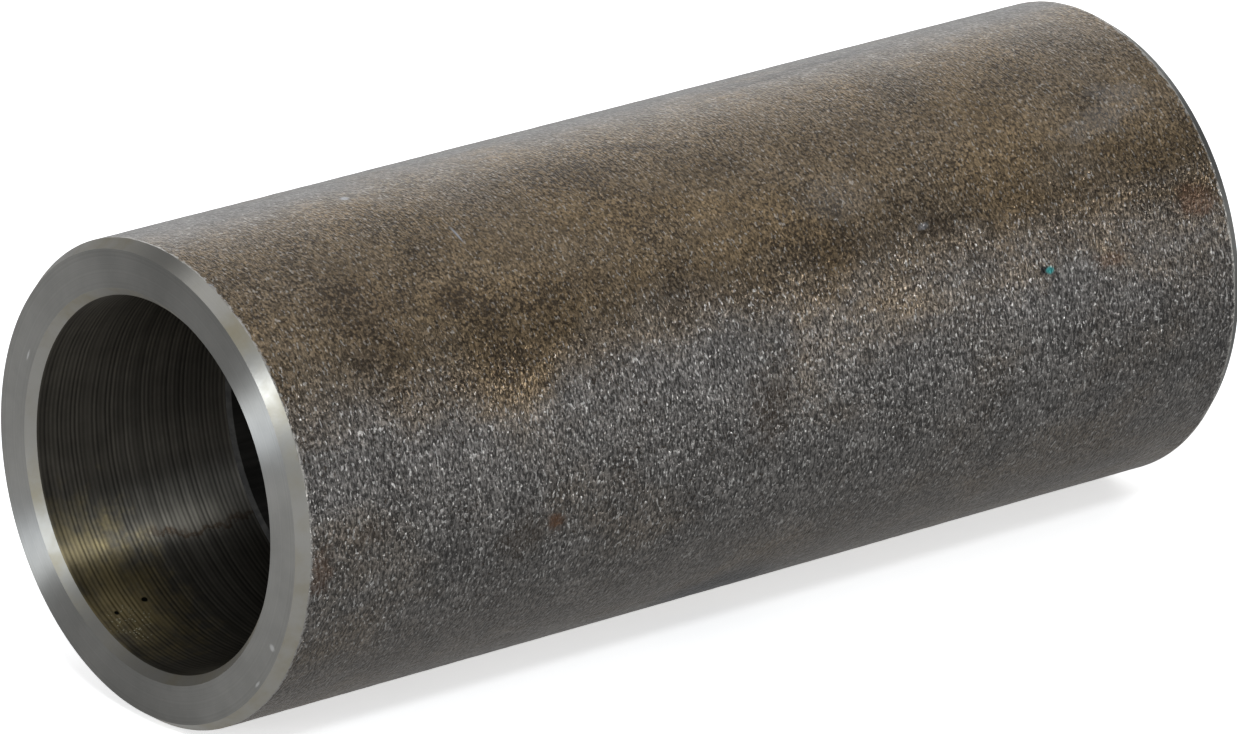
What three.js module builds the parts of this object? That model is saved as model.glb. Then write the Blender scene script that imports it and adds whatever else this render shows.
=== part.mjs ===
// Rigid sleeve coupling: one length of thick-walled steel tube with a turned socket in each end.
// Millimetres, +Z up. The sleeve lies along X, and the origin is on its axis at mid-length.

import * as THREE from 'three';

const sleeveLength = 140;
const tubeOuterDiameter = 57;
const tubeWall = 7.1;
const socketDiameter = 44;
const socketDepth = 28;
const socketRunOut = 0.4; // axial length of the cone that the boring tool leaves at the socket's inner end
const mouthChamfer = 1; // 45 degree lead-in at the mouth of each socket
const rimChamferRadial = 1; // the outer edge is broken with a slanted cut, longer than it is deep
const rimChamferAxial = 1.5;
const facetCount = 128; // a multiple of 4, so that the facets' corners reach the full diameter on Y and Z

const outerRadius = tubeOuterDiameter / 2;
const socketRadius = socketDiameter / 2;
const rawBoreRadius = outerRadius - tubeWall;
const halfLength = sleeveLength / 2;

// One end of the profile, as [radius, distance from mid-length], from the skin round the rim and into the bore.
function endProfile() {
  return [
    [outerRadius, halfLength - rimChamferAxial],
    [outerRadius - rimChamferRadial, halfLength],
    [socketRadius + mouthChamfer, halfLength],
    [socketRadius, halfLength - mouthChamfer],
    [socketRadius, halfLength - socketDepth],
    [rawBoreRadius, halfLength - socketDepth - socketRunOut],
  ];
}

// The wall's section, once around: over the rim at one end, in through the bore, and out over the other rim.
// It runs anticlockwise, so that the turned faces point outward.
function wallProfile() {
  const nearEnd = endProfile().map(([radius, along]) => new THREE.Vector2(radius, along));
  const farEnd = nearEnd.map((point) => new THREE.Vector2(point.x, -point.y)).reverse();
  return [...nearEnd, ...farEnd, nearEnd[0].clone()];
}

// The section turned about the sleeve's axis, which is laid along X.
function sleeveGeometry() {
  const geometry = new THREE.LatheGeometry(wallProfile(), facetCount);
  geometry.rotateZ(-Math.PI / 2);
  return geometry;
}

const rolledSteel = new THREE.MeshStandardMaterial({ color: 0x77706a, roughness: 0.62, metalness: 0.85 });

const couplingSleeve = new THREE.Mesh(sleeveGeometry(), rolledSteel);
couplingSleeve.name = 'coupling_sleeve';

const coupling = new THREE.Group();
coupling.add(couplingSleeve);

export default coupling;
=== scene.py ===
# Rigid sleeve coupling: a length of rolled steel tube with turned ends, lying on a pale studio floor.
# Metres, Z up, the sleeve's axis along X. "Around" is an angle about that axis: 0 is straight up and
# 90 degrees is the side towards -Y. "Along" is the distance from mid-length, towards +X.

import math

import bpy
import numpy as np
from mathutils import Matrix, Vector, noise


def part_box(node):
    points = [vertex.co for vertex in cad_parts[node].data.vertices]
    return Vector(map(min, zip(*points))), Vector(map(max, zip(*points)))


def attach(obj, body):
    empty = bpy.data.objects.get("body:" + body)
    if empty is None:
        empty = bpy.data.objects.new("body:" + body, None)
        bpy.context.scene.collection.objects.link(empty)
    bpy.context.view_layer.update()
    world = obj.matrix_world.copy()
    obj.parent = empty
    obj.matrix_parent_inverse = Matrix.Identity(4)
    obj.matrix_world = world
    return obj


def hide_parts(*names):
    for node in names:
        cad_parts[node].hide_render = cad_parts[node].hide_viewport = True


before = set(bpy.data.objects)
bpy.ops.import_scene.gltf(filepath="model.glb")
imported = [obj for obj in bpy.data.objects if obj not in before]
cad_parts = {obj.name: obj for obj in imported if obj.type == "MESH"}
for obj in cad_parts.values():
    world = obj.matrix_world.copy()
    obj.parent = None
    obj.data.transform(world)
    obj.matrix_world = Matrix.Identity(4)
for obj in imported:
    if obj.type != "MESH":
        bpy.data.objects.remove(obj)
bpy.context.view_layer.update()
mm = 0.001


def newShader(name):
    material = bpy.data.materials.new(name)
    material.use_nodes = True
    material.node_tree.nodes.clear()
    return material, material.node_tree


def addNode(tree, kind, inputs=None, **settings):
    # inputs: socket name or number to a fixed value, or to another node's output socket
    node = tree.nodes.new("ShaderNode" + kind)
    for key, value in settings.items():
        setattr(node, key, value)
    for key, value in (inputs or {}).items():
        if isinstance(value, bpy.types.NodeSocket):
            tree.links.new(value, node.inputs[key])
        else:
            node.inputs[key].default_value = value
    return node


def calc(tree, operation, first, second=0.0, third=0.0):
    return addNode(tree, "Math", {0: first, 1: second, 2: third}, operation=operation).outputs[0]


def fromTo(tree, value, low, high, newLow=0.0, newHigh=1.0):
    # low to high becomes newLow to newHigh, smoothly, and is held past both
    inputs = {"Value": value, "From Min": low, "From Max": high, "To Min": newLow, "To Max": newHigh}
    return addNode(tree, "MapRange", inputs, interpolation_type="SMOOTHSTEP").outputs["Result"]


def mixColour(tree, share, first, second, blend="MIX"):
    node = addNode(tree, "Mix", data_type="RGBA", blend_type=blend)
    for key, value in (("Factor", share), ("A", first), ("B", second)):
        socket = next(s for s in node.inputs if s.name == key and (s.type == "RGBA") == (key != "Factor"))
        if isinstance(value, bpy.types.NodeSocket):
            tree.links.new(value, socket)
        else:
            socket.default_value = value if key == "Factor" else (*value, 1.0)
    return next(s for s in node.outputs if s.type == "RGBA")


def toned(tree, colour, *tones):
    # the colour made lighter or darker by these values together
    tone = tones[0]
    for more in tones[1:]:
        tone = calc(tree, "MULTIPLY", tone, more)
    grey = addNode(tree, "CombineColor", {0: tone, 1: tone, 2: tone}).outputs[0]
    return mixColour(tree, 1.0, colour, grey, "MULTIPLY")


def noiseValue(tree, place, size, detail=3.0, roughness=0.55, distortion=0.0):
    # size: the width of one patch
    inputs = {"Vector": place, "Scale": 1 / size, "Detail": detail, "Roughness": roughness,
              "Distortion": distortion}
    return addNode(tree, "TexNoise", inputs).outputs["Fac"]


def stretched(tree, place, stretch):
    return addNode(tree, "Mapping", {"Vector": place, "Scale": stretch}).outputs["Vector"]


def ragged(tree, place, size, detail=5.0, roughness=0.65):
    # how far the edges of marks are torn in and out
    return calc(tree, "SUBTRACT", noiseValue(tree, place["point"], size, detail, roughness), 0.5)


def surfacePlace(tree):
    # the point itself, and where it is along, around and away from the axis
    place = addNode(tree, "TexCoord").outputs["Object"]
    parts = addNode(tree, "SeparateXYZ", {0: place}).outputs
    around = calc(tree, "ARCTAN2", calc(tree, "MULTIPLY", parts["Y"], -1.0), parts["Z"])
    squares = calc(tree, "ADD", calc(tree, "MULTIPLY", parts["Y"], parts["Y"]),
                   calc(tree, "MULTIPLY", parts["Z"], parts["Z"]))
    return {"point": place, "along": parts["X"], "around": around, "radius": calc(tree, "SQRT", squares)}


def markMask(tree, place, radius, mark, tearing):
    # an oval mark on the surface, 1 in its middle and 0 outside; size is half its length and half its height
    offAlong = calc(tree, "SUBTRACT", place["along"], mark["along"])
    offAround = calc(tree, "SUBTRACT", place["around"], math.radians(mark["around"]))
    halfLength, halfHeight = mark["size"]
    across = calc(tree, "MULTIPLY", offAlong, 1 / halfLength)
    up = calc(tree, "MULTIPLY", offAround, radius / halfHeight)
    tilt = mark.get("tilt", 0.0)
    if tilt:
        up = calc(tree, "MULTIPLY_ADD", across, tilt, up)
    spread = calc(tree, "SQRT", calc(tree, "ADD", calc(tree, "MULTIPLY", across, across),
                                     calc(tree, "MULTIPLY", up, up)))
    torn = calc(tree, "MULTIPLY_ADD", tearing, mark.get("tear", 3.2), spread)
    softness = mark.get("soft", 0.5)
    return fromTo(tree, torn, 1.0 + softness, 1.0 - softness, 0.0, mark.get("strength", 1.0))


def allMarks(tree, place, radius, marks, tearing):
    # the strongest of the marks at each point
    total = None
    for mark in marks:
        mask = markMask(tree, place, radius, mark, tearing)
        total = mask if total is None else calc(tree, "MAXIMUM", total, mask)
    return total


def finishShader(tree, colour, roughness, height, bumpStrength, bumpDepth, **plain):
    # plain: values that are the same all over, set on the shader's own sockets
    bump = addNode(tree, "Bump", {"Height": height, "Strength": bumpStrength, "Distance": bumpDepth})
    shader = addNode(tree, "BsdfPrincipled", {"Base Color": colour, "Roughness": roughness,
                                              "Normal": bump.outputs["Normal"]})
    for key, value in plain.items():
        shader.inputs[key].default_value = value
    addNode(tree, "OutputMaterial", {"Surface": shader.outputs[0]})
    return shader


def turnedTangent(tree, shader):
    # the tool's marks run around the axis, so the shine spreads across them
    tangent = addNode(tree, "Tangent", direction_type="RADIAL", axis="X")
    tree.links.new(tangent.outputs[0], shader.inputs["Tangent"])
    shader.inputs["Anisotropic Rotation"].default_value = 0.25


rolledSkin = {
    "grainSize": 0.47 * mm,
    "grainStretch": (1.6, 0.75, 0.75),  # over 1 squeezes: the pebbles are drawn out around the sleeve
    "grainTone": (0.42, 1.85),  # the pits hold dark scale, the crests are rubbed bright; this contrast is also a painted glint on the grain
    "grainDepth": 0.42 * mm,
    "patchSize": 14 * mm,
    "mottleSize": 5 * mm,
    "speckPatchSize": 9 * mm,
    "tearSize": 1.6 * mm,
    "rimGrainSize": 0.8 * mm,
    "rimWear": 1.6 * mm,  # how far bare steel can reach in from the cut edge
    "scaleColour": (0.106, 0.101, 0.096),
    "filmColour": (0.158, 0.115, 0.067),
    "filmAround": math.radians(30),  # the yellow-brown film lies along this shoulder
    "speckColour": (0.034, 0.025, 0.017),
    "stainColour": (0.060, 0.040, 0.024),
    "rustColour": (0.110, 0.055, 0.028),
    "scuffColour": (0.30, 0.31, 0.33),
    "smudgeAndShadowColour": (0.010, 0.010, 0.011),
    "paintColour": (0.03, 0.22, 0.22),
    "bareColour": (0.34, 0.33, 0.31),
    # painted highlight: the colour of the painted glints on the grain
    "paintedGlintColour": (0.55, 0.54, 0.52),
    "stains": [
        {"around": 39.5, "along": -52.7 * mm, "size": (5.0 * mm, 5.4 * mm), "strength": 0.75},
        {"around": 52.0, "along": -56.0 * mm, "size": (1.6 * mm, 1.2 * mm), "strength": 0.95},
        {"around": 42.5, "along": -41.5 * mm, "size": (2.6 * mm, 1.6 * mm), "strength": 0.9},
        {"around": 47.0, "along": -30.0 * mm, "size": (9.0 * mm, 1.8 * mm), "strength": 0.5},
        {"around": 12.0, "along": -3.2 * mm, "size": (2.4 * mm, 0.8 * mm), "tilt": -0.7},
        {"around": 16.5, "along": -14.4 * mm, "size": (6.5 * mm, 2.6 * mm), "strength": 0.45},
        {"around": 54.0, "along": -10.0 * mm, "size": (5.0 * mm, 2.0 * mm), "strength": 0.35},
        {"around": 53.5, "along": 12.7 * mm, "size": (5.5 * mm, 2.0 * mm), "strength": 0.5},
        {"around": 54.5, "along": 27.0 * mm, "size": (2.4 * mm, 1.2 * mm), "strength": 1.0},
        {"around": 58.5, "along": -37.0 * mm, "size": (2.6 * mm, 3.4 * mm), "strength": 0.4},
        {"around": 87.2, "along": -2.5 * mm, "size": (2.6 * mm, 4.4 * mm), "strength": 0.75},
        {"around": 89.5, "along": -60.0 * mm, "size": (2.0 * mm, 1.1 * mm), "strength": 0.8},
        {"around": 100.0, "along": -38.0 * mm, "size": (3.0 * mm, 2.6 * mm), "strength": 0.6},
        {"around": 205.0, "along": 22.0 * mm, "size": (7.0 * mm, 4.0 * mm), "strength": 0.6},
        {"around": 262.0, "along": -31.0 * mm, "size": (5.0 * mm, 6.0 * mm), "strength": 0.7},
        {"around": 305.0, "along": 38.0 * mm, "size": (8.0 * mm, 3.0 * mm), "strength": 0.55},
        {"around": 331.0, "along": -12.0 * mm, "size": (3.0 * mm, 3.0 * mm), "strength": 0.7},
    ],
    "rust": [
        {"around": 64.0, "along": 64.5 * mm, "size": (2.6 * mm, 1.7 * mm), "strength": 0.6},
        {"around": 99.0, "along": -33.5 * mm, "size": (1.3 * mm, 0.9 * mm), "strength": 0.85},
        {"around": 95.5, "along": -67.0 * mm, "size": (1.4 * mm, 2.6 * mm), "strength": 0.4},
        {"around": 73.0, "along": 50.0 * mm, "size": (2.2 * mm, 0.8 * mm), "strength": 0.4},
        {"around": 245.0, "along": 58.0 * mm, "size": (4.0 * mm, 2.5 * mm), "strength": 0.8},
        {"around": 290.0, "along": -52.0 * mm, "size": (3.0 * mm, 1.6 * mm), "strength": 0.7},
    ],
    "scuffs": [
        {"around": 40.0, "along": 56.0 * mm, "size": (6.0 * mm, 1.6 * mm), "strength": 0.16, "tilt": 0.4},
        {"around": 34.0, "along": 61.0 * mm, "size": (4.0 * mm, 1.6 * mm), "strength": 0.16, "tilt": -0.6},
        {"around": 42.0, "along": 15.5 * mm, "size": (5.0 * mm, 2.6 * mm), "strength": 0.08},
        {"around": 54.0, "along": 25.0 * mm, "size": (0.7 * mm, 0.4 * mm), "strength": 0.5},
        {"around": 25.0, "along": -34.8 * mm, "size": (0.16 * mm, 1.3 * mm), "tear": 0.3},
        {"around": 21.5, "along": -68.7 * mm, "size": (0.6 * mm, 0.45 * mm), "tear": 1.0},
        {"around": 1.0, "along": -41.8 * mm, "size": (0.5 * mm, 0.5 * mm), "tear": 0.3},
        {"around": 280.0, "along": 5.0 * mm, "size": (9.0 * mm, 0.4 * mm), "strength": 0.6, "tear": 0.5},
        {"around": 318.0, "along": 55.0 * mm, "size": (0.4 * mm, 4.0 * mm), "strength": 0.5, "tear": 0.5},
    ],
    # dark soot smudges, and one painted shadow
    "smudgesAndShadow": [
        {"around": -8.5, "along": 28.0 * mm, "size": (11.0 * mm, 0.5 * mm), "strength": 0.5},
        {"around": -6.0, "along": 22.0 * mm, "size": (6.0 * mm, 0.35 * mm), "strength": 0.5},
        {"around": 71.3, "along": 40.1 * mm, "size": (0.55 * mm, 0.5 * mm), "tear": 0.4},
        # painted shadow: the broad dark patch underneath at mid-length, the shadow of a support under the
        # sleeve
        {"around": 147.0, "along": -0.5 * mm, "size": (8.6 * mm, 5.0 * mm), "soft": 0.6, "tear": 0.3},
        {"around": 88.0, "along": 62.0 * mm, "size": (15.0 * mm, 20.0 * mm), "soft": 0.9, "strength": 0.2},
    ],
    "paint": [{"around": 71.6, "along": 41.0 * mm, "size": (0.55 * mm, 0.4 * mm), "tear": 0.3}],
}


def rolledSkinShader(radius, rimAlong):
    settings = rolledSkin
    material, tree = newShader("rolled_skin")
    place = surfacePlace(tree)
    point = place["point"]
    grain = settings["grainSize"]

    patches = noiseValue(tree, stretched(tree, point, (0.6, 1.0, 1.0)), settings["patchSize"], 5.0, 0.6, 0.4)
    level = addNode(tree, "SeparateXYZ", {0: point}).outputs["Z"]
    uneven = calc(tree, "SUBTRACT", patches, 0.5)
    upward = fromTo(tree, calc(tree, "MULTIPLY_ADD", uneven, radius, level), 0.12 * radius, 0.90 * radius)
    offShoulder = calc(tree, "SUBTRACT", place["around"], settings["filmAround"])
    shoulder = calc(tree, "MULTIPLY_ADD", uneven, 0.5, calc(tree, "COSINE", offShoulder))
    film = fromTo(tree, shoulder, 0.68, 1.0)
    undersideShare = fromTo(tree, level, -0.20 * radius, -0.85 * radius)  # the underside: less of the painted grain contrast and painted glints, and a little more film
    filmShare = calc(tree, "MULTIPLY_ADD", film, 0.85, fromTo(tree, patches, 0.45, 0.75, 0.0, 0.35))
    filmShare = calc(tree, "MULTIPLY_ADD", undersideShare, 0.2, filmShare)
    colour = mixColour(tree, filmShare, settings["scaleColour"], settings["filmColour"])

    # the pebbled grain: bright on its crests and dark in its pits, as worn crests and scale-filled pits; its
    # contrast is cut on top and underneath, where the lamps glint less, as painted light and shade
    pebbles = noiseValue(tree, stretched(tree, point, settings["grainStretch"]), grain, 2.0, 0.5, 0.25)
    fine = noiseValue(tree, point, grain * 0.6, 2.0, 0.6)
    broad = noiseValue(tree, point, grain * 4, 2.0)
    mottle = fromTo(tree, noiseValue(tree, point, settings["mottleSize"], 5.0, 0.7), 0.3, 0.72, 0.82, 1.18)
    # painted light: grain contrast and glints kept strongest on the lower flank, where the lamps catch the
    # grain
    lampLitContrast = calc(tree, "MULTIPLY", calc(tree, "MULTIPLY_ADD", undersideShare, -0.7, 1.0),
                  calc(tree, "MULTIPLY_ADD", upward, -0.42, 1.0))
    crests = calc(tree, "SUBTRACT", fromTo(tree, pebbles, 0.36, 0.66, *settings["grainTone"]), 1.0)
    crests = calc(tree, "MULTIPLY_ADD", crests, lampLitContrast, 1.0)
    crumbs = fromTo(tree, fine, 0.3, 0.7, 0.75, 1.3)
    colour = toned(tree, colour, mottle, crumbs, crests)

    # painted glints: bright specks in the colour standing in for lamp highlights on the grain
    paintedGlintField = noiseValue(tree, stretched(tree, point, (1.5, 0.8, 0.8)), grain, 1.0, 0.4)
    paintedGlints = calc(tree, "MULTIPLY", fromTo(tree, paintedGlintField, 0.62, 0.70),
                  calc(tree, "MULTIPLY_ADD", lampLitContrast, 0.9, -0.15))
    colour = mixColour(tree, paintedGlints, colour, settings["paintedGlintColour"])

    # dark specks crowd together in patches, under the film and in the stains
    tearing = ragged(tree, place, settings["tearSize"])
    stained = allMarks(tree, place, radius, settings["stains"], tearing)
    speckField = noiseValue(tree, point, grain * 0.85, 2.0, 0.5)
    speckPatches = noiseValue(tree, point, settings["speckPatchSize"], 3.0)
    speckLimit = fromTo(tree, speckPatches, 0.3, 0.7, 0.10, -0.01)
    speckLimit = calc(tree, "MULTIPLY_ADD", film, -0.085, speckLimit)
    speckLimit = calc(tree, "MULTIPLY_ADD", stained, -0.10, speckLimit)
    specks = fromTo(tree, calc(tree, "SUBTRACT", speckField, speckLimit), 0.56, 0.68, 0.0, 0.85)
    colour = mixColour(tree, calc(tree, "MULTIPLY", stained, 0.4), colour, settings["stainColour"])
    colour = mixColour(tree, specks, colour, settings["speckColour"])

    # the dark smudge marks include the painted shadow underneath
    for marks, markColour in (("rust", "rustColour"), ("scuffs", "scuffColour"), ("smudgesAndShadow", "smudgeAndShadowColour"),
                              ("paint", "paintColour")):
        mask = allMarks(tree, place, radius, settings[marks], tearing)
        colour = mixColour(tree, mask, colour, settings[markColour])

    # bare steel where the skin has chipped away beside the cut edge
    fromRim = calc(tree, "SUBTRACT", rimAlong, calc(tree, "ABSOLUTE", place["along"]))
    rimNoise = noiseValue(tree, point, settings["rimGrainSize"], 4.0, 0.7)
    chipped = calc(tree, "MULTIPLY_ADD", rimNoise, -settings["rimWear"], fromRim)
    rimWear = fromTo(tree, chipped, -0.50 * mm, -0.72 * mm)
    colour = mixColour(tree, rimWear, colour, settings["bareColour"])

    height = calc(tree, "MULTIPLY_ADD", broad, 0.5, pebbles)
    height = calc(tree, "MULTIPLY", height, calc(tree, "MULTIPLY_ADD", upward, -0.68, 1.0))
    roughness = calc(tree, "MULTIPLY_ADD", broad, 0.2, 0.22)
    finishShader(tree, colour, roughness, height, 1.0, settings["grainDepth"], Metallic=0.8)
    return material


turnedSteel = {
    "faceColour": (0.435, 0.43, 0.41),
    "nickColour": (0.75, 0.75, 0.74),
    "chamferColour": (0.43, 0.422, 0.395),
    "tarnishColour": (0.37, 0.33, 0.23),
    "farRimDarkColour": (0.065, 0.069, 0.069),  # darker on the far end's outer chamfer
    "faceFeed": 0.22 * mm,  # the facing tool's advance in each turn
    "faceBands": 1.1 * mm,
    "chamferFeed": 0.16 * mm,
    "tearSize": 0.5 * mm,  # small tears across the chamfers' cut
    "cloudSize": 5 * mm,
    "tarnishSize": 6 * mm,
    "cutDepth": 0.02 * mm,
    "nickTear": 0.4 * mm,
    "nickRadius": 26 * mm,  # turns the nicks' angles into lengths on the face
    "outerRim": (25 * mm, 26 * mm),  # only the outer chamfer, past these distances from the axis, is darkened
    "faceNicks": [
        # along: here the distance out from the axis
        {"around": 118.5, "along": 26.3 * mm, "size": (0.42 * mm, 0.34 * mm), "tear": 0.6},
        {"around": 131.0, "along": 27.0 * mm, "size": (0.16 * mm, 0.5 * mm), "tear": 0.6},
        {"around": -66.0, "along": 24.1 * mm, "size": (0.14 * mm, 0.7 * mm), "tear": 0.6},
    ],
}


def ringNoise(tree, distance, width, detail=2.0):
    # a pattern that changes only with one distance, as a tool's marks do
    inputs = {"W": calc(tree, "MULTIPLY", distance, 1 / width), "Scale": 1.0, "Detail": detail,
              "Roughness": 0.6}
    return addNode(tree, "TexNoise", inputs, noise_dimensions="1D").outputs["Fac"]


def turnedFaceShader():
    settings = turnedSteel
    material, tree = newShader("turned_face")
    place = surfacePlace(tree)
    rings = ringNoise(tree, place["radius"], settings["faceFeed"])
    bands = ringNoise(tree, place["radius"], settings["faceBands"])
    cloud = noiseValue(tree, place["point"], settings["cloudSize"], 4.0, 0.6)
    colour = toned(tree, settings["faceColour"], fromTo(tree, rings, 0.25, 0.75, 0.95, 1.05),
                   fromTo(tree, cloud, 0.3, 0.7, 0.93, 1.06))
    facePlace = dict(place, along=place["radius"])
    tearing = ragged(tree, place, settings["nickTear"], 3.0, 0.55)
    nicks = allMarks(tree, facePlace, settings["nickRadius"], settings["faceNicks"], tearing)
    colour = mixColour(tree, nicks, colour, settings["nickColour"])
    height = calc(tree, "MULTIPLY_ADD", nicks, -2.0, rings)
    roughness = calc(tree, "MULTIPLY_ADD", bands, 0.06, 0.46)
    shader = finishShader(tree, colour, roughness, height, 0.15, settings["cutDepth"], Metallic=1.0,
                          Anisotropic=1.0)
    turnedTangent(tree, shader)
    return material


def chamferShader():
    settings = turnedSteel
    material, tree = newShader("cut_chamfer")
    place = surfacePlace(tree)
    rings = ringNoise(tree, place["radius"], settings["chamferFeed"])
    tears = noiseValue(tree, stretched(tree, place["point"], (1.6, 1.0, 1.0)), settings["tearSize"], 3.0, 0.6)
    cloud = noiseValue(tree, place["point"], settings["tarnishSize"], 4.0, 0.6)
    tarnish = fromTo(tree, cloud, 0.35, 0.80, 0.0, 0.8)
    colour = mixColour(tree, tarnish, settings["chamferColour"], settings["tarnishColour"])
    # the far end's outer chamfer is made darker
    farEnd = fromTo(tree, place["along"], -5 * mm, 5 * mm, 0.0, 0.9)
    farRimDarkening = calc(tree, "MULTIPLY", farEnd, fromTo(tree, place["radius"], *settings["outerRim"]))
    colour = mixColour(tree, farRimDarkening, colour, settings["farRimDarkColour"])
    height = calc(tree, "MULTIPLY_ADD", tears, 0.6, rings)
    roughness = fromTo(tree, cloud, 0.3, 0.7, 0.38, 0.5)
    shader = finishShader(tree, colour, roughness, height, 0.4, settings["cutDepth"], Metallic=1.0,
                          Anisotropic=0.6)
    turnedTangent(tree, shader)
    return material


boreFinish = {
    # painted shade: the bore's steel and oil are kept far darker than the same turned steel on the ends, for
    # the shade inside the bore
    "shadedSteelColour": (0.120, 0.110, 0.092),
    "shadedOilColour": (0.138, 0.128, 0.108),
    "stainColour": (0.33, 0.265, 0.130),
    "rustColour": (0.060, 0.036, 0.020),
    # mill scale in the middle of the bore, darkened further as painted shade deep inside
    "shadedRawColour": (0.040, 0.037, 0.032),
    # painted highlight: the colour of the bright dots on the oil's bubbles
    "bubbleHighlightColour": (0.72, 0.71, 0.52),
    "pitColour": (0.006, 0.006, 0.005),
    "grooveFeed": 0.62 * mm,  # the boring tool's advance in each turn
    "wanderSize": 6 * mm,
    "bandSize": 1.5 * mm,
    "fadeSize": 1.7 * mm,  # the grooves fade in and out over this distance
    "cloudSize": 5 * mm,
    "leanSize": 4 * mm,  # how broadly the oil's edge wanders
    "tearSize": 2.0 * mm,
    "foamSize": 0.42 * mm,
    "tideEnds": (59 * mm, 54 * mm),  # from mid-length: the oil's dried edge starts to show between these
    "drawnSize": 0.9 * mm,
    "crustSize": 0.6 * mm,
    "rawPatchSize": 9 * mm,
    "boreDepth": 0.05 * mm,
    "oilLine": math.radians(50),  # how far up from the bottom the oil lies
    # yellow-brown stains near the mouths, made light enough to carry a painted highlight there as well
    "stains": [
        {"around": -147.0, "along": -64.5 * mm, "size": (5.5 * mm, 8.0 * mm), "soft": 0.9, "strength": 0.85},
        {"around": -132.0, "along": -67.0 * mm, "size": (4.4 * mm, 5.4 * mm), "soft": 0.9, "strength": 0.6},
        {"around": 150.0, "along": 62.0 * mm, "size": (6.0 * mm, 7.0 * mm), "soft": 0.8, "strength": 0.6},
    ],
    "pits": [
        {"around": -148.5, "along": -61.8 * mm, "size": (0.42 * mm, 0.34 * mm), "tear": 0.8, "soft": 0.3},
        {"around": -150.5, "along": -66.3 * mm, "size": (0.30 * mm, 0.30 * mm), "tear": 0.8, "soft": 0.3},
    ],
    "bubbleHighlights": {"around": -157.0, "along": -65.5 * mm, "size": (2.2 * mm, 2.6 * mm), "soft": 0.6},
}


def socketShader(radius):
    settings = boreFinish
    material, tree = newShader("turned_socket")
    place = surfacePlace(tree)
    point = place["point"]
    wander = noiseValue(tree, point, settings["wanderSize"], 3.0)
    turns = calc(tree, "MULTIPLY_ADD", place["along"], 2 * math.pi / settings["grooveFeed"],
                 calc(tree, "MULTIPLY", wander, 3.0))
    grooves = calc(tree, "MULTIPLY_ADD", calc(tree, "SINE", turns), 0.5, 0.5)
    bands = ringNoise(tree, place["along"], settings["bandSize"])
    fading = fromTo(tree, ringNoise(tree, place["along"], settings["fadeSize"]), 0.3, 0.7, 0.25, 1.05)
    # the grooves' painted light and shade: lighter on their crests, darker in their valleys
    grooveLightAndShade = calc(tree, "MULTIPLY_ADD", calc(tree, "SUBTRACT", grooves, 0.5), fading, 1.0)
    cloud = noiseValue(tree, point, settings["cloudSize"], 5.0, 0.65)

    # the oil lies in the bottom, and where its edge has dried there is a rusty line
    lean = calc(tree, "SUBTRACT", noiseValue(tree, point, settings["leanSize"], 6.0, 0.7), 0.5)
    fromBottom = calc(tree, "SUBTRACT", math.pi, calc(tree, "ABSOLUTE", place["around"]))
    edge = calc(tree, "MULTIPLY_ADD", lean, 0.4, fromBottom)
    line = settings["oilLine"]
    oil = fromTo(tree, edge, line + 0.015, line - 0.015)
    tideMark = calc(tree, "MULTIPLY", fromTo(tree, edge, line - 0.03, line),
                    fromTo(tree, edge, line + 0.04, line))
    deep = fromTo(tree, calc(tree, "ABSOLUTE", place["along"]), *settings["tideEnds"])
    tideMark = calc(tree, "MULTIPLY", tideMark, deep)
    tearing = ragged(tree, place, settings["tearSize"])
    stained = allMarks(tree, place, radius, settings["stains"], tearing)
    pitted = allMarks(tree, place, radius, settings["pits"], tearing)
    # the oil over the steel, both in darkened colours that are painted shade inside the bore
    colour = mixColour(tree, calc(tree, "MULTIPLY", oil, 0.9), settings["shadedSteelColour"], settings["shadedOilColour"])
    # the stains: yellow-brown, and light enough to be a painted highlight near the mouths as well
    colour = mixColour(tree, stained, colour, settings["stainColour"])
    colour = mixColour(tree, calc(tree, "MULTIPLY", tideMark, 0.7), colour, settings["rustColour"])
    # painted light and shade of the grooves, with the bands and clouds of the finish
    colour = toned(tree, colour, grooveLightAndShade, fromTo(tree, bands, 0.3, 0.7, 0.86, 1.14),
                   fromTo(tree, cloud, 0.3, 0.7, 0.85, 1.12))
    colour = mixColour(tree, pitted, colour, settings["pitColour"])

    # painted highlights: bright dots on the oil's bubbles, standing in for their glints
    foam = addNode(tree, "TexVoronoi", {"Vector": point, "Scale": 1 / settings["foamSize"]})
    foamy = markMask(tree, place, radius, settings["bubbleHighlights"], tearing)
    bubbleHighlights = calc(tree, "MULTIPLY", fromTo(tree, foam.outputs["Distance"], 0.30, 0.16), foamy)
    colour = mixColour(tree, bubbleHighlights, colour, settings["bubbleHighlightColour"])
    height = calc(tree, "MULTIPLY_ADD", bubbleHighlights, 1.5, grooves)
    roughness = calc(tree, "MULTIPLY_ADD", oil, -0.10, calc(tree, "MULTIPLY_ADD", bands, 0.08, 0.46))
    shader = finishShader(tree, colour, roughness, height, 0.5, settings["boreDepth"], Metallic=0.9,
                          Anisotropic=1.0)
    turnedTangent(tree, shader)
    return material


def rawBoreShader():
    settings = boreFinish
    material, tree = newShader("raw_bore")
    point = surfacePlace(tree)["point"]
    drawn = noiseValue(tree, stretched(tree, point, (0.05, 1.0, 1.0)), settings["drawnSize"], 4.0, 0.6)
    crust = noiseValue(tree, point, settings["crustSize"], 4.0, 0.65)
    patches = noiseValue(tree, point, settings["rawPatchSize"], 4.0, 0.6)
    # painted shade: the raw bore's colour is kept dark for the shade deep inside
    colour = toned(tree, settings["shadedRawColour"], fromTo(tree, drawn, 0.3, 0.7, 0.65, 1.4),
                   fromTo(tree, patches, 0.3, 0.7, 0.75, 1.25))
    height = calc(tree, "ADD", drawn, crust)
    roughness = calc(tree, "MULTIPLY_ADD", patches, 0.2, 0.5)
    finishShader(tree, colour, roughness, height, 0.6, settings["boreDepth"], Metallic=0.4)
    return material


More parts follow.
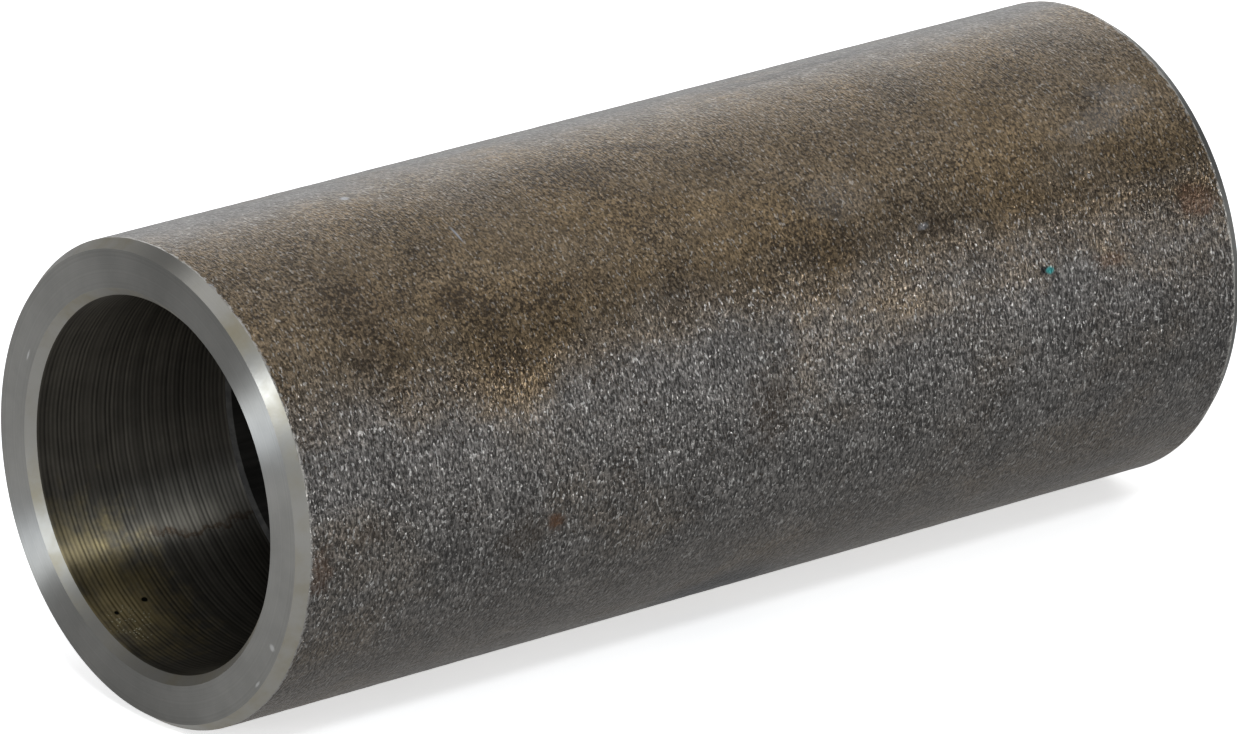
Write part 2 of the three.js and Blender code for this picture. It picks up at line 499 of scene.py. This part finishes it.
sleeveMesh = {
    "skinColumns": 320,
    "boreColumns": 160,
    "skinRows": 160,
    "rawBoreRows": 40,
    "faceRings": 3,  # between the two edges of each end face
    "grooveDepth": 0.04 * mm,
    "grooveSpread": 1.3 * mm,  # the grooves' depth varies over this distance
    "skinAllowance": 0.025 * mm,  # the skin's mean height under the tube's full size
    "skinWave": 0.05 * mm,  # slow bulges of the rolled tube
    "skinPebble": 0.035 * mm,
    "rawWave": 0.05 * mm,
    # sizes of the unevenness along and across the tube
    "slowSize": (34 * mm, 14 * mm),
    "drawnSize": (22 * mm, 2.4 * mm),
    "pebbleSize": (1.5 * mm, 1.5 * mm),
    "rawDrawnSize": (40 * mm, 1.6 * mm),
    "rawCrustSize": (2.2 * mm, 2.2 * mm),
}


def cadRings(node):
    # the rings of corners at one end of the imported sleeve, as (along, radius), from the skin inwards
    corners = np.array([vertex.co for vertex in node.data.vertices])
    rings = {(round(abs(x), 5), round(math.hypot(y, z), 5)) for x, y, z in corners}
    return sorted(rings, key=lambda ring: (-ring[1], -ring[0]))


def unevenness(point, size):
    along, across = size
    return noise.noise(Vector((point[0] / along, point[1] / across, point[2] / across)))


def skinOffset(point):
    # the rolled skin's height against the true cylinder: 0 or less, so it never stands outside
    settings = sleeveMesh
    waves = unevenness(point, settings["slowSize"]) + 0.25 * unevenness(point, settings["drawnSize"])
    pebbles = unevenness(point, settings["pebbleSize"])
    rise = waves * settings["skinWave"] + pebbles * settings["skinPebble"]
    return min(rise - settings["skinAllowance"], 0)


def rawOffset(point):
    settings = sleeveMesh
    drawn = unevenness(point, settings["rawDrawnSize"])
    crust = unevenness(point, settings["rawCrustSize"])
    return (0.7 * drawn + 0.5 * crust) * settings["rawWave"]


def circle(columns):
    turn = np.arange(columns) * 2 * math.pi / columns
    return np.cos(turn), np.sin(turn)


def ring(along, radius, columns, offset=None):
    # one ring of points; offset moves each one in or out
    cosines, sines = circle(columns)
    radii = np.full(columns, radius)
    if offset:
        radii += [offset((along, radius * c, radius * s)) for c, s in zip(cosines, sines)]
    return np.stack([np.full(columns, along), radii * cosines, radii * sines], axis=1)


def rimEdge(side, sections, columns):
    # where the chamfer's cone meets the uneven skin: it wanders with the skin's height
    (rimAlong, skinRadius), (faceAlong, faceRadius) = sections[:2]
    points = ring(side * rimAlong, skinRadius, columns, skinOffset)
    radii = np.hypot(points[:, 1], points[:, 2])
    slope = (faceAlong - rimAlong) / (skinRadius - faceRadius)
    points[:, 0] = side * (faceAlong - slope * (radii - faceRadius))
    return points


def between(first, last, count):
    # evenly spaced values after first and before last
    return np.linspace(first, last, count + 2)[1:-1]


def middleRing(side, start, end, columns):
    # the ring half-way down a chamfer's cone
    along, radius = (np.array(start) + np.array(end)) / 2
    return ring(side * along, radius, columns)


def socketRings(side, mouth, bottom, columns):
    # the turned wall from the mouth inwards, with a crest and a valley for each turn of the tool
    feed = boreFinish["grooveFeed"]
    count = int(round(2 * (mouth[0] - bottom[0]) / feed)) - 1
    rows = []
    for number, along in enumerate(between(mouth[0], bottom[0], count)):
        uneven = 0.6 + 0.8 * noise.noise(Vector((along / sleeveMesh["grooveSpread"], side * 3.7, 0)))
        lift = sleeveMesh["grooveDepth"] * uneven * (0.5 if number % 2 else -0.5)
        rows.append(ring(side * along, mouth[1] + lift, columns))
    return rows


def endRows(side, sections):
    # the rings of one end from the skin inwards
    rim, face, mouth, socket, bottom, raw = sections
    skinColumns, boreColumns = sleeveMesh["skinColumns"], sleeveMesh["boreColumns"]
    rows = [
        (rimEdge(side, sections, skinColumns), "chamfer", True),
        (middleRing(side, rim, face, skinColumns), "chamfer", False),
        (ring(side * face[0], face[1], skinColumns), "face", True),
    ]
    for radius in between(face[1], mouth[1], sleeveMesh["faceRings"]):
        columns = skinColumns if radius > (face[1] + mouth[1]) / 2 + 1e-6 else boreColumns
        rows.append((ring(side * face[0], radius, columns), "face", False))
    rows.append((ring(side * mouth[0], mouth[1], boreColumns), "chamfer", True))
    rows.append((middleRing(side, mouth, socket, boreColumns), "chamfer", False))
    rows.append((ring(side * socket[0], socket[1], boreColumns), "socket", True))
    rows += [(points, "socket", False) for points in socketRings(side, socket, bottom, boreColumns)]
    rows.append((ring(side * bottom[0], bottom[1], boreColumns), "raw", True))
    rows.append((ring(side * raw[0], raw[1], boreColumns), "raw", True))
    return rows


def sleeveRows(sections):
    # every ring of the wall's section, once round: its points, the finish of the band that follows it, and
    # whether it is a cut edge
    rim, raw = sections[0], sections[-1]
    skinColumns, boreColumns = sleeveMesh["skinColumns"], sleeveMesh["boreColumns"]
    rows = [(rimEdge(-1, sections, skinColumns), "skin", True)]
    for along in between(-rim[0], rim[0], sleeveMesh["skinRows"] - 1):
        rows.append((ring(along, rim[1], skinColumns, skinOffset), "skin", False))
    rows += endRows(1, sections)
    for along in between(raw[0], -raw[0], sleeveMesh["rawBoreRows"] - 1):
        rows.append((ring(along, raw[1], boreColumns, rawOffset), "raw", False))
    return rows + backwards(endRows(-1, sections))


def backwards(end):
    # the same end walked outwards: each band's finish is now held by the ring on its other side
    finishes = [finish for _, finish, _ in end]
    turned = []
    for number in range(len(end) - 1, 0, -1):
        turned.append((end[number][0], finishes[number - 1], end[number][2]))
    return turned


def bandFaces(first, firstCount, second, secondCount):
    # quads between two rings, or three triangles for each cell where one ring has half the points
    faces = []
    if firstCount == secondCount:
        for i in range(firstCount):
            j = (i + 1) % firstCount
            faces.append((first + i, first + j, second + j, second + i))
        return faces
    coarse, fine = min(firstCount, secondCount), max(firstCount, secondCount)
    fineStart, coarseStart = (first, second) if firstCount == fine else (second, first)
    for i in range(coarse):
        j = (i + 1) % coarse
        f = [fineStart + (2 * i + k) % fine for k in range(3)]
        cell = [(f[0], f[1], coarseStart + i), (f[1], coarseStart + j, coarseStart + i),
                (f[1], f[2], coarseStart + j)]
        faces += cell if firstCount == fine else [corners[::-1] for corners in cell]
    return faces


def buildSleeve(sections, finishes):
    rows = sleeveRows(sections)
    starts = np.cumsum([0] + [len(points) for points, _, _ in rows])
    faces, slots = [], []
    order = list(finishes)
    for number, (points, finish, _) in enumerate(rows):
        after = (number + 1) % len(rows)
        band = bandFaces(starts[number], len(points), starts[after], len(rows[after][0]))
        faces += band
        slots += [order.index(finish)] * len(band)
    mesh = bpy.data.meshes.new("sleeve_body")
    mesh.from_pydata(np.concatenate([points for points, _, _ in rows]).tolist(), [], faces)
    for material in finishes.values():
        mesh.materials.append(material)
    mesh.polygons.foreach_set("material_index", slots)
    mesh.polygons.foreach_set("use_smooth", [True] * len(faces))
    markSharp(mesh, [(starts[n], len(points)) for n, (points, _, sharp) in enumerate(rows) if sharp])
    mesh.update()
    sleeve = bpy.data.objects.new("sleeve_body", mesh)
    bpy.context.scene.collection.objects.link(sleeve)
    return sleeve


def markSharp(mesh, sharpRings):
    # the cut edges: both ends of the edge are neighbours on one sharp ring
    ringOf = np.full(len(mesh.vertices), -1)
    for number, (start, count) in enumerate(sharpRings):
        ringOf[start:start + count] = number
    ends = np.empty(2 * len(mesh.edges), np.int32)
    mesh.edges.foreach_get("vertices", ends)
    ends = ringOf[ends.reshape(-1, 2)]
    mesh.edges.foreach_set("use_edge_sharp", (ends[:, 0] == ends[:, 1]) & (ends[:, 0] >= 0))


cadNode = bpy.data.objects["coupling_sleeve"]
sections = cadRings(cadNode)
lowCorner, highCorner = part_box("coupling_sleeve")
print("rings of the packed sleeve:", sections)
finishes = {
    "skin": rolledSkinShader(radius=sections[0][1], rimAlong=sections[0][0]),
    "chamfer": chamferShader(),
    "face": turnedFaceShader(),
    "socket": socketShader(radius=sections[3][1]),
    "raw": rawBoreShader(),
}
print("finishes:", ", ".join(finishes))
sleeve = buildSleeve(sections, finishes)
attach(sleeve, "root")
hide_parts("coupling_sleeve")
print("sleeve:", len(sleeve.data.polygons), "faces")


studio = {
    "floorSize": 12.0,
    "floorGap": 0.1 * mm,
    "floorColour": (0.27, 0.27, 0.27),
    "floorGlow": 0.34,  # the light that comes up through the table
    "floorInView": (1.2, 1.2, 1.2),  # the camera sees both over-exposed, as in a product shot
    "glowInView": 0.6,
    "worldColour": (1.0, 1.0, 1.0),
    "worldStrength": 0.16,
    "lamps": [
        # towards: from the sleeve; size: width and height of the panel; glow: how bright the panel looks
        {"name": "top_panel", "towards": (0.0, 0.1, 1.0), "distance": 1.8,
         "size": (1.2, 1.2), "glow": 1.6},
        {"name": "back_panel", "towards": (0.593, 0.66, 0.36), "distance": 2.0,
         "size": (2.2, 1.5), "glow": 1.25},
        {"name": "front_panel", "towards": (-0.935, -0.24, 0.23), "distance": 1.3,
         "size": (0.35, 0.20), "glow": 16.0, "colour": (0.86, 0.92, 1.0)},
        {"name": "edge_panel", "towards": (-0.50, -0.57, 0.65), "distance": 1.2,
         "size": (0.16, 0.16), "glow": 45.0, "colour": (0.93, 0.97, 1.0)},
        {"name": "low_panel", "towards": (-0.80, -0.60, 0.012), "distance": 1.3,
         "size": (0.4, 0.06), "glow": 6.0},
        {"name": "shoulder_panel", "towards": (0.63, -0.22, 0.74), "distance": 1.6,
         "size": (0.9, 0.6), "glow": 1.6},
        {"name": "side_panel", "towards": (0.82, -0.56, 0.09), "distance": 1.5,
         "size": (0.7, 0.2), "glow": 16.5},
    ],
}


def makeFloor(height):
    half = studio["floorSize"] / 2
    mesh = bpy.data.meshes.new("studio_floor")
    corners = [(-half, -half, height), (half, -half, height), (half, half, height), (-half, half, height)]
    mesh.from_pydata(corners, [], [(0, 1, 2, 3)])
    material, tree = newShader("studio_paper")
    inView = addNode(tree, "LightPath").outputs["Is Camera Ray"]
    colour = mixColour(tree, inView, studio["floorColour"], studio["floorInView"])
    paper = addNode(tree, "BsdfDiffuse", {"Color": colour})
    strength = fromTo(tree, inView, 0.0, 1.0, studio["floorGlow"], studio["glowInView"])
    glow = addNode(tree, "Emission", {"Strength": strength})
    both = addNode(tree, "AddShader", {0: paper.outputs[0], 1: glow.outputs[0]})
    addNode(tree, "OutputMaterial", {"Surface": both.outputs[0]})
    mesh.materials.append(material)
    floor = bpy.data.objects.new("studio_floor", mesh)
    bpy.context.scene.collection.objects.link(floor)


def makeLamp(lamp, target):
    data = bpy.data.lights.new(lamp["name"], "AREA")
    data.shape = "RECTANGLE"
    data.size, data.size_y = lamp["size"]
    data.energy = lamp["glow"] * math.pi * data.size * data.size_y
    data.color = lamp.get("colour", (1.0, 1.0, 1.0))
    light = bpy.data.objects.new(lamp["name"], data)
    towards = Vector(lamp["towards"]).normalized()
    light.location = target + towards * lamp["distance"]
    light.rotation_euler = towards.to_track_quat("Z", "Y").to_euler()
    bpy.context.scene.collection.objects.link(light)


def makeWorld():
    world = bpy.data.worlds.new("studio_light")
    world.use_nodes = True
    background = world.node_tree.nodes["Background"]
    background.inputs["Color"].default_value = (*studio["worldColour"], 1.0)
    background.inputs["Strength"].default_value = studio["worldStrength"]
    bpy.context.scene.world = world


centre = Vector((np.array(lowCorner) + np.array(highCorner)) / 2)
makeFloor(lowCorner[2] - studio["floorGap"])
makeWorld()
for lamp in studio["lamps"]:
    makeLamp(lamp, centre)
bpy.context.scene.view_settings.view_transform = "Standard"
print("studio: floor and", len(studio["lamps"]), "lamps")


cameraView = {
    "azimuth": -38.98,
    "elevation": 19.52,
    "lens": 383.3,
    "distance": 1.5256,  # from the camera to the point it aims at
    "clipEnd": 60.0,
    "aimRight": -1.17 * mm,
    "aimUp": -1.15 * mm,
}


def makeCamera(target):
    azimuth = math.radians(cameraView["azimuth"])
    elevation = math.radians(cameraView["elevation"])
    forward = Vector((-math.sin(azimuth) * math.cos(elevation), math.cos(azimuth) * math.cos(elevation),
                      -math.sin(elevation)))
    right = forward.cross(Vector((0, 0, 1))).normalized()
    up = right.cross(forward)
    data = bpy.data.cameras.new("studio_camera")
    data.lens = cameraView["lens"]
    data.clip_end = cameraView["clipEnd"]
    camera = bpy.data.objects.new("studio_camera", data)
    aim = target + right * cameraView["aimRight"] + up * cameraView["aimUp"]
    camera.location = aim - forward * cameraView["distance"]
    camera.rotation_euler = forward.to_track_quat("-Z", "Y").to_euler()
    bpy.context.scene.collection.objects.link(camera)
    bpy.context.scene.camera = camera


makeCamera(centre)
print("camera ready")
